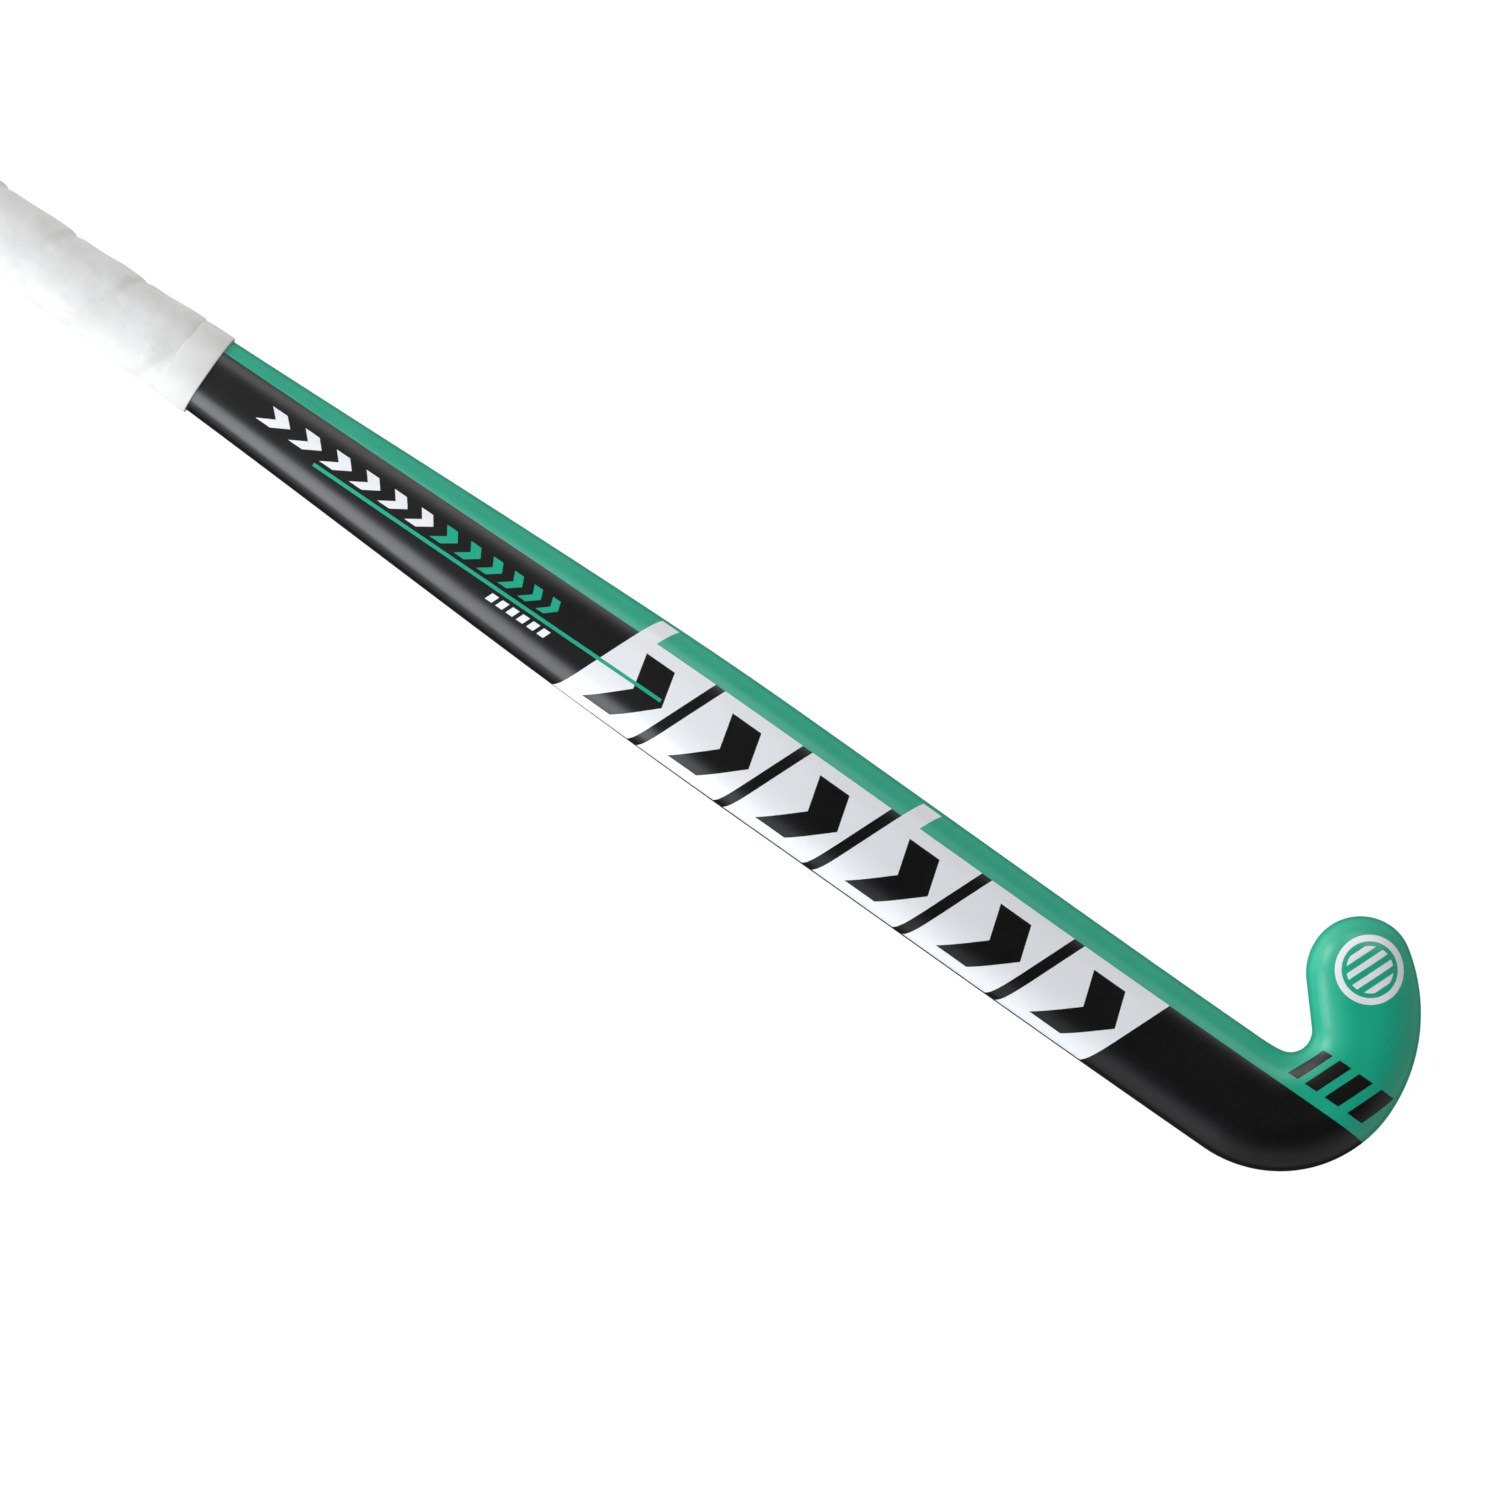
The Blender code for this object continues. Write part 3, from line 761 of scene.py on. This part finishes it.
# %% [markdown]
# ## The grip
#
# The grip is one long strip of soft white foam-backed tape, wound from its lower end up to the butt.
# Each turn lies over the edge of the one before it, so the thickness climbs to two layers and drops at
# the seam. The winding is a helix: going round once moves the seam along by one pitch. The strip is also
# stretched as it is wound, which leaves soft hollows and small creases that run into the seams.

# %% Soft noise for shapes
def soft_noise(places, cell, seed):
    """Smooth random values from -1 to 1. Random numbers stand on a lattice of this cell size, and each
    place blends the eight round it by the smooth share of its way between them."""
    table = np.random.default_rng(seed).uniform(-1.0, 1.0, (64, 64, 64))
    place = places / cell
    corner = np.floor(place).astype(int)
    share = smooth(place - corner)
    total = np.zeros(places.shape[:-1])
    for step in itertools.product((0, 1), repeat=3):
        weight = np.where(np.array(step) == 1, share, 1 - share).prod(axis=-1)
        total += weight * table[tuple(((corner + step) % 64)[..., k] for k in range(3))]
    return total


# %% Rings round the handle
def handle_rings(x, across, on_back, inset):
    """Points round the shaft at x, this far inside its outside, or outside it where inset is negative."""
    edge = half_width(x) - inset
    y = edge * across
    z = surface_height(x, edge - np.abs(y), inset, on_back)
    return np.stack([x, y, z], axis=-1)


def round_share(x, quarter):
    """For each ring: x and the places across it, which are on the back, how far round each one is as a
    share of the whole way, and the points of the bare handle there."""
    across, on_back = ring_places(x, half_width(x), 0.0, quarter, quarter)
    full_x = np.tile(x[:, None], across.shape[1])
    base = handle_rings(full_x, across, on_back, np.zeros(across.shape))
    along, whole = length_round(base)
    return full_x, across, on_back, along / whole, base


# %% The thickness of the wound strip
GRIP_PITCH = 32.0 * MM
GRIP_SEAM = 358.0 * MM
GRIP_GAP = 0.3 * MM
STRIP_LOW = 0.72 * MM
STRIP_LAP = 0.46 * MM
PINCH, PINCH_WIDTH, SWELL, CREASE = 0.62 * MM, 0.055, 0.16 * MM, 0.19 * MM
SWAY, WIDE_HOLLOW, SMALL_HOLLOW = 1.6 * MM, 0.13 * MM, 0.11 * MM
SEAM_DROP, PULLED_DROP = 0.16, 0.06
GRIP_QUARTER = 34
GRIP_STEP = 0.85 * MM


def hump(value, middle, width):
    """A smooth bell: e to the power of minus the square of the distance from the middle in widths."""
    return np.exp(-(((value - middle) / width) ** 2))


def wound_thickness(x, way, base):
    """How far the grip stands off the skin. Inside a turn the share climbs from 0 at the seam behind to
    1 at the seam ahead. The lap rises over its middle and drops before the next seam, softly over the
    back and in a pinch where the strip is pulled round the toe side."""
    turn = (x - GRIP_SEAM + SWAY * soft_noise(base, 34 * MM, 11)) / GRIP_PITCH + way
    share = turn - np.floor(turn)
    pull = hump(np.minimum(way, 1 - way), 0.0, 0.085)
    drop = SEAM_DROP - PULLED_DROP * pull
    lap = smooth((share - 0.25) / 0.4) * (1 - smooth((share - 1 + drop) / drop))
    pinch = PINCH * pull * (hump(share, 0.985, PINCH_WIDTH) + hump(share, -0.015, PINCH_WIDTH))
    swell = SWELL * np.sin(np.pi * share)
    near_seam = 0.35 + hump(share, 0.94, 0.2) + hump(share, 0.0, 0.16)
    drawn = np.stack([x * 0.45 + way * 24 * MM, way * 80 * MM, x * 0.0], axis=-1)
    creases = CREASE * near_seam * soft_noise(drawn, 3.0 * MM, 12)
    hollows = WIDE_HOLLOW * soft_noise(base, 11 * MM, 13) + SMALL_HOLLOW * soft_noise(base, 5 * MM, 14)
    return STRIP_LOW + STRIP_LAP * lap + swell + creases + hollows - pinch


# %% The grip as a sleeve
TAPE_WIDTH = 14 * MM
TAPE_START = GRIP_LENGTH - TAPE_WIDTH
UNDER_TAPE, UNDER_TAPE_START = 0.5 * MM, TAPE_START + 0.2 * MM
SOFT_EDGE = 1.6 * MM
THINNEST, THICKEST = 0.2 * MM, 1.4 * MM
INNER_EVERY = 12


def grip_rows():
    """Rings of the outside: rounded over at the butt, thinned where the finishing tape binds it."""
    steps = round(GRIP_LENGTH / GRIP_STEP)
    x = np.linspace(0.0, GRIP_LENGTH, steps + 1)
    full_x, across, on_back, way, base = round_share(x, GRIP_QUARTER)
    thick = wound_thickness(full_x, way, base)
    rounding = np.sqrt(np.clip(1 - (1 - np.clip(full_x / SOFT_EDGE, 0, 1)) ** 2, 0, 1))
    thick = thick * (0.35 + 0.65 * rounding)
    bound = smooth((full_x - UNDER_TAPE_START) / SOFT_EDGE)
    thick = thick + bound * (UNDER_TAPE - thick)
    outer = handle_rings(full_x, across, on_back, -(GRIP_GAP + np.clip(thick, THINNEST, THICKEST)))
    pick = [row for row in range(0, steps, INNER_EVERY) if x[row] < GRIP_LENGTH - GRIP_STEP] + [steps]
    inner = handle_rings(full_x[pick], across[pick], on_back, np.full(across[pick].shape, -GRIP_GAP))
    return np.concatenate([outer, inner[::-1]])


grip = make_sleeve("wound_grip", grip_rows(), "grip_white", "grip_tape")

# %% [markdown]
# The strip's face is a soft, slightly tacky skin. Close to, it has a fine even grain, and the hollows
# between the turns hold a little more shade and dirt than the tops. It takes a broad, weak highlight.

# %% Soft white skin of the grip
material, shader, spot = start_finish("soft_white_grip")
cloud = noise(spot, 16 * MM, detail=3.0, roughness=0.55)
grain = noise(spot, 0.55 * MM)
lines = noise(stretched(spot, 1.0, 0.35, 0.35), 2.2 * MM, detail=3.0)
dabs = noise(spot, 4.5 * MM, detail=3.0, roughness=0.6)
colour = blend(shift(cloud, 0.3, 0.65), (0.655, 0.65, 0.63, 1), (0.705, 0.705, 0.705, 1))
colour = blend(shift(dabs, 0.50, 0.68, 0.0, 0.6), colour, (0.62, 0.62, 0.61, 1))
colour = blend(shift(grain, 0.62, 0.8, 0.0, 0.5), colour, (0.63, 0.625, 0.61, 1))
soft = bump(lines, 0.30 * MM, strength=0.6)
feed(shader, {
    "Base Color": colour,
    "Roughness": shift(cloud, 0.3, 0.7, 0.55, 0.66),
    "Normal": bump(grain, 0.05 * MM, strength=0.5, under=soft),
    "Specular IOR Level": 0.35,
    "Sheen Weight": 0.12,
    "Sheen Roughness": 0.5,
})
wear_finish(grip, material)

# %% [markdown]
# ## The finishing tape
#
# A narrow stretchy tape binds the lower end of the grip. It is wound twice on the spot, so its outer
# end makes one small step across its width. The upper edge presses into the soft strip and hardly shows,
# and the lower edge ends square over the paint.

# %% Finishing tape
TAPE_THICKNESS = 0.4 * MM
TAPE_ROWS = 40
TAPE_UNDER = GRIP_GAP * 2 + UNDER_TAPE
TAPE_SUNK, SUNK_OVER = 0.2 * MM, 6 * MM
TAPE_STEP, TAPE_UNEVEN = 0.12 * MM, 0.05 * MM
TAPE_END, TAPE_END_SLANT = 0.31, 0.035


def tape_rows():
    """The outside follows the grip below it, with a step where the tape ends. The upper edge sinks into
    the soft grip, and the lower edge is rolled."""
    x = np.linspace(TAPE_START, GRIP_LENGTH, TAPE_ROWS + 1)
    full_x, across, on_back, way, base = round_share(x, GRIP_QUARTER)
    spot = (full_x - TAPE_START) / TAPE_WIDTH
    end = way + TAPE_END_SLANT * spot - TAPE_END
    layer = TAPE_STEP * (smooth(end / 0.012) - smooth((end - 0.62) / 0.3))
    rolled = 1 - np.abs(2 * spot - 1) ** 6
    uneven = TAPE_UNEVEN * soft_noise(base, 6 * MM, 21)
    over = TAPE_THICKNESS * (0.35 + 0.65 * rolled) - 0.10 * MM + layer + uneven
    sunk = TAPE_SUNK * (1 - smooth(spot * TAPE_WIDTH / SUNK_OVER))
    outer = handle_rings(full_x, across, on_back, -(TAPE_UNDER + over - sunk))
    pick = [0, TAPE_ROWS // 4, TAPE_ROWS]
    under = np.array([TAPE_UNDER - TAPE_SUNK - 0.15 * MM, TAPE_UNDER, TAPE_UNDER])
    inner = handle_rings(full_x[pick], across[pick], on_back, -np.tile(under[:, None], across.shape[1]))
    return np.concatenate([outer, inner[::-1]])


tape = make_sleeve("end_tape", tape_rows(), "finishing_tape", "finishing_tape")

# %% The tape's ribbed face
material, shader, spot = start_finish("stretch_tape")
cloud = noise(spot, 9 * MM)
ribs = noise(stretched(spot, 1.0, 0.2, 0.2), 0.5 * MM)
feed(shader, {
    "Base Color": blend(shift(cloud, 0.3, 0.7), (0.64, 0.635, 0.61, 1), (0.695, 0.695, 0.685, 1)),
    "Roughness": shift(ribs, 0.3, 0.7, 0.52, 0.64),
    "Normal": bump(ribs, 0.03 * MM, strength=0.5),
    "Specular IOR Level": 0.35,
})
wear_finish(tape, material)

# %% [markdown]
# ## The butt plug
#
# A rubber plug closes the handle. Its disc lies flush with the skin under the grip's edge, and its hollow
# stem is pushed into the shaft. The end is dished, with fine moulded rings that show in raking light.

# %% The plug's profile
PLUG_DISC = 4.0 * MM
PLUG_END = 22.0 * MM
PLUG_GAP = 1.9 * MM
PLUG_WALL = 2.2 * MM
DISH_DEPTH, DISH_EDGE = 1.1 * MM, 0.62
RING_PITCH, RING_HEIGHT = 1.1 * MM, 0.10 * MM
RIM_START, RIM_DEPTH = 0.94, 0.9 * MM
CHAMFER, DISC_CHAMFER = 0.7 * MM, 0.3 * MM
PLUG_QUARTER = 20


def plug_profile():
    """Rows of (x, inset, scale): the dished end from the middle out, over the rolled rim, along the
    disc and the stem, and back inside to the middle of the disc."""
    scale = np.linspace(0.0, RIM_START, 60)[1:]
    dish = DISH_DEPTH * (1 - smooth((scale - DISH_EDGE) / 0.22))
    ribs = RING_HEIGHT * (0.5 - 0.5 * np.cos(2 * np.pi * scale * HANDLE_HALF_WIDTH / RING_PITCH))
    face = np.stack([dish + ribs * (scale < DISH_EDGE), scale * 0, scale], axis=1)
    turn = np.linspace(0, np.pi / 2, 9)
    rolled = RIM_START + (1 - RIM_START) * np.cos(turn)
    rim = np.stack([RIM_DEPTH * (1 - np.sin(turn)), turn * 0, rolled], axis=1)[::-1]
    walls = np.array([
        (PLUG_DISC - DISC_CHAMFER, 0, 1),
        (PLUG_DISC, DISC_CHAMFER, 1),
        (PLUG_DISC, PLUG_GAP, 1),
        (PLUG_END - CHAMFER, PLUG_GAP, 1),
        (PLUG_END, PLUG_GAP + CHAMFER, 1),
        (PLUG_END, PLUG_GAP + PLUG_WALL, 1),
        (PLUG_DISC, PLUG_GAP + PLUG_WALL, 1),
        (PLUG_DISC, PLUG_GAP + PLUG_WALL, 0.5),
    ])
    return np.concatenate([face, rim, walls])


def plug_points():
    """Each row is the shaft's section at that inset, shrunk towards the middle of the section."""
    x, inset, scale = plug_profile().T
    across, on_back = ring_places(x, half_width(x) - inset, inset, PLUG_QUARTER, PLUG_QUARTER)
    wide = np.tile(x[:, None], across.shape[1])
    rings = handle_rings(wide, across, on_back, np.tile(inset[:, None], across.shape[1]))
    middle = np.stack([x, x * 0, bow(x) + HANDLE_THICKNESS / 2], axis=1)
    rings = middle[:, None] + (rings - middle[:, None]) * scale[:, None, None]
    return rings, middle


plug_rings, plug_middle = plug_points()
plug = make_spindle("rubber_plug", plug_rings, plug_middle[[0, -1]], "plug_rubber", "butt_plug")

# %% Rubber
material, shader, spot = start_finish("plug_rubber_finish")
bloom = noise(spot, 6 * MM, detail=3.0)
feed(shader, {
    "Base Color": blend(shift(bloom, 0.4, 0.7), (0.012, 0.012, 0.013, 1), (0.026, 0.026, 0.027, 1)),
    "Roughness": shift(bloom, 0.3, 0.7, 0.55, 0.72),
    "Normal": bump(noise(spot, 0.35 * MM, detail=3.0), 0.04 * MM, strength=0.6),
})
wear_finish(plug, material)

# %% [markdown]
# ## Inside the skin
#
# The CAD solids inside the skin keep their meshes and get the finishes of the real layup: twill carbon
# tubes, straight-fibre strips, a woven aramid band round the head, a speckled filler core, and foam bars
# in the handle. A 2 by 2 twill has tows that pass over two and under two, each row one tow further on,
# which is the same as asking whether row plus column, counted by fours, is 0 or 1.

# %% Weave
def weave(first, second, tow, over):
    """Two signals: whether the first tow is on top, and how high the cloth stands there. A tow's height is
    half a sine wave across it."""
    row, column = first / tow, second / tow
    on_top = (row.calc("FLOOR") + column.calc("FLOOR")) % (2 * over) < over
    row_arch, column_arch = ((tows.calc("FRACT") * math.pi).calc("SINE") for tows in (row, column))
    return on_top, on_top * row_arch + ~on_top * column_arch


def cloth_finish(name, first_colour, second_colour, tow, over, roughness):
    """Cloth laid at 45 degrees. Across plus up lets it run on over the rounded sides."""
    material, shader, spot = start_finish(name)
    along, across, up = three_parts(spot)
    on_top, height = weave(along + (across + up), along - (across + up), tow, over)
    threads = noise(stretched(spot, 0.15, 1.0, 1.0), 0.3 * MM)
    colour = blend(on_top, first_colour, second_colour)
    feed(shader, {
        "Base Color": blend(shift(threads, 0.35, 0.7, 0.0, 0.4), colour, first_colour),
        "Roughness": shift(threads, 0.3, 0.7, roughness - 0.05, roughness + 0.08),
        "Normal": bump(height, 0.12 * MM),
    })
    return material


# %% Straight fibre, filler and foam
def straight_carbon():
    material, shader, spot = start_finish("straight_carbon")
    fibre = noise(stretched(spot, 0.02, 1.0, 1.0), 0.25 * MM, detail=3.0)
    feed(shader, {
        "Base Color": blend(shift(fibre, 0.3, 0.7), (0.012, 0.012, 0.013, 1), (0.045, 0.045, 0.048, 1)),
        "Roughness": shift(fibre, 0.3, 0.7, 0.3, 0.45),
        "Normal": bump(fibre, 0.03 * MM),
    })
    return material


def filler_finish():
    material, shader, spot = start_finish("microballoon_filler")
    grains = cells(spot, 0.7 * MM)
    cloud = noise(spot, 12 * MM, detail=4.0)
    colour = blend(shift(cloud, 0.3, 0.7), (0.40, 0.31, 0.19, 1), (0.53, 0.43, 0.29, 1))
    feed(shader, {
        "Base Color": blend((grains < 0.22) * 0.6, colour, (0.22, 0.17, 0.11, 1)),
        "Roughness": shift(cloud, 0.3, 0.7, 0.7, 0.85),
        "Normal": bump(grains, 0.08 * MM),
    })
    return material


def foam_finish():
    material, shader, spot = start_finish("closed_cell_foam")
    wall = shift(cells(spot, 1.1 * MM, feature="DISTANCE_TO_EDGE"), 0.0, 0.12, 1.0, 0.0)
    cloud = noise(spot, 10 * MM, detail=3.0)
    colour = blend(shift(cloud, 0.3, 0.7), (0.66, 0.52, 0.27, 1), (0.78, 0.66, 0.40, 1))
    feed(shader, {
        "Base Color": blend(wall * 0.5, colour, (0.86, 0.78, 0.56, 1)),
        "Roughness": shift(wall, 0.0, 1.0, 0.9, 0.75),
        "Normal": bump(wall, 0.15 * MM),
    })
    return material


# %% Dress the CAD solids inside
CARBON = ((0.012, 0.012, 0.013, 1), (0.04, 0.04, 0.043, 1))
ARAMID = ((0.50, 0.34, 0.05, 1), (0.70, 0.52, 0.12, 1))

inside = {
    ("toe_side_tube", "heel_side_tube"): cloth_finish("carbon_twill", *CARBON, 2.0 * MM, 2.0, 0.4),
    ("back_strip", "face_strip"): straight_carbon(),
    ("edge_band",): cloth_finish("aramid_weave", *ARAMID, 1.2 * MM, 1.0, 0.55),
    ("head_core",): filler_finish(),
    ("toe_side_foam", "heel_side_foam"): foam_finish(),
}
for node_names, material in inside.items():
    for node_name in node_names:
        wear_finish(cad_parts[node_name], material)
        print("dressed:", node_name, material.name)

# %% [markdown]
# ## Studio
#
# The stick is shown on a plain white ground, lit softly. What a satin paint shows depends on what it
# mirrors, so each light has its task. The room is dark overhead, because a flat black surface seen from
# above mirrors the ceiling. A softbox on the heel side draws the pale streak along the handle, and weaker
# ones lift the toe side and the handle's flat. One behind the butt lights the grip and the print and
# draws the pale line inside the hook. The ground glows a little and is left out of mirrored light, as in
# a picture cut out on white. From below it is clear, so that the face can be looked at.

# %% The floor
FLOOR_SIZE = 30.0

mesh = bpy.data.meshes.new("floor")
half = FLOOR_SIZE / 2
corners = [(-half, -half, 0), (half, -half, 0), (half, half, 0), (-half, half, 0)]
mesh.from_pydata(corners, [], [(0, 1, 2, 3)])
floor = new_object("floor", mesh)
material, shader, _ = start_finish("pale_floor")
feed(shader, {
    "Base Color": (0.15, 0.15, 0.15, 1),
    "Roughness": 0.9,
    "Specular IOR Level": 0.0,
    "Emission Color": (1, 1, 1, 1),
    "Emission Strength": 0.95,
})
tree = material.node_tree
from_below = work_out(tree, "ShaderNodeNewGeometry", "Backfacing")
clear = work_out(tree, "ShaderNodeBsdfTransparent", 0)
sides = enumerate((from_below, Signal(shader.outputs[0]), clear))
one_way = work_out(tree, "ShaderNodeMixShader", 0, sides)
feed(tree.nodes["Material Output"], {"Surface": one_way})
mesh.materials.append(material)
floor.visible_glossy = False

# %% [markdown]
# The room gives light by direction. It is full at the walls and fades overhead and under the table. It
# rises a little behind the butt, and falls beyond the head and evenly towards both long sides.

# %% The room
WALL = 1.0
CEILING = 0.03

world = bpy.data.worlds.new("room")
bpy.context.scene.world = world
world.use_nodes = True
tree = world.node_tree
along, across, up = three_parts(work_out(tree, "ShaderNodeTexCoord", "Generated"))
share = (
    shift(up, 0.45, 0.85, WALL, CEILING)
    * shift(up, -0.6, -0.2, 0.05, 1.0)
    * shift(along * 0.95 + across * 0.3, -0.95, -0.40, 1.6, 1.0)
    * shift(along, 0.0, 0.8, 1.0, 0.42)
    * shift(abs(across), 0.2, 0.9, 1.0, 0.5)
)
feed(tree.nodes["Background"], {"Color": (1, 1, 1, 1), "Strength": share})

# %% Soft lights
HEEL_SIDE_BLUE = (0.91, 0.95, 1.0)


def soft_light(name, place, aim, size, watts, colour=(1, 1, 1)):
    """A softbox at a place, turned to its aim, that the camera doesn't see."""
    lamp = bpy.data.lights.new(name, "AREA")
    lamp.shape = "RECTANGLE"
    lamp.size, lamp.size_y = size
    lamp.energy = watts
    lamp.color = colour
    holder = new_object(name, lamp)
    holder.location = place
    holder.rotation_mode = "QUATERNION"
    holder.rotation_quaternion = (Vector(aim) - Vector(place)).to_track_quat("-Z", "Y")
    holder.visible_camera = False
    print(name, "watts:", watts)


soft_light("heel_side_light", (-0.30, -1.06, 0.57), (-0.24, 0.0, 0.02), (0.9, 0.95), 13.2, HEEL_SIDE_BLUE)
soft_light("toe_side_light", (-0.10, 0.84, 1.08), (-0.06, 0.0, 0.02), (1.4, 0.5), 5.0)
soft_light("butt_end_light", (-1.05, -0.05, 0.86), (-0.10, 0.0, 0.02), (0.6, 0.6), 5.2)
soft_light("top_light", (-0.26, -0.1, 1.05), (-0.20, -0.05, 0.02), (0.85, 0.7), 0.60)

# %% [markdown]
# ## Camera
#
# The camera looks down on the rounded back, leaned six degrees about the stick's long axis towards the
# heel side, so it sees a little more of that flank. It is turned so that the stick runs from the upper
# left to the lower right at 35 degrees. It takes in 570 mm of the ground, so the first part of the
# handle runs out of the frame.

# %% Camera
SHAFT_ANGLE = 34.81
TILT = 5.8
VIEW_WIDTH = 570 * MM
VIEW_CENTRE = (646.7 * MM, 0.5 * MM, 25 * MM)
CAMERA_DISTANCE = 3.2
SENSOR = 36.0

camera_data = bpy.data.cameras.new("camera")
camera_data.sensor_width = SENSOR
camera_data.lens = SENSOR * CAMERA_DISTANCE / VIEW_WIDTH
camera = new_object("camera", camera_data)
lean = math.radians(TILT)
away = CAMERA_DISTANCE * np.array([0.0, -math.sin(lean), math.cos(lean)])
camera.location = BUTT + np.array(VIEW_CENTRE) + away
camera.rotation_mode = "ZYX"
camera.rotation_euler = (lean, 0.0, math.radians(SHAFT_ANGLE))
bpy.context.scene.camera = camera
bpy.context.scene.view_settings.view_transform = "Standard"
print("lens, mm:", round(camera_data.lens, 1))
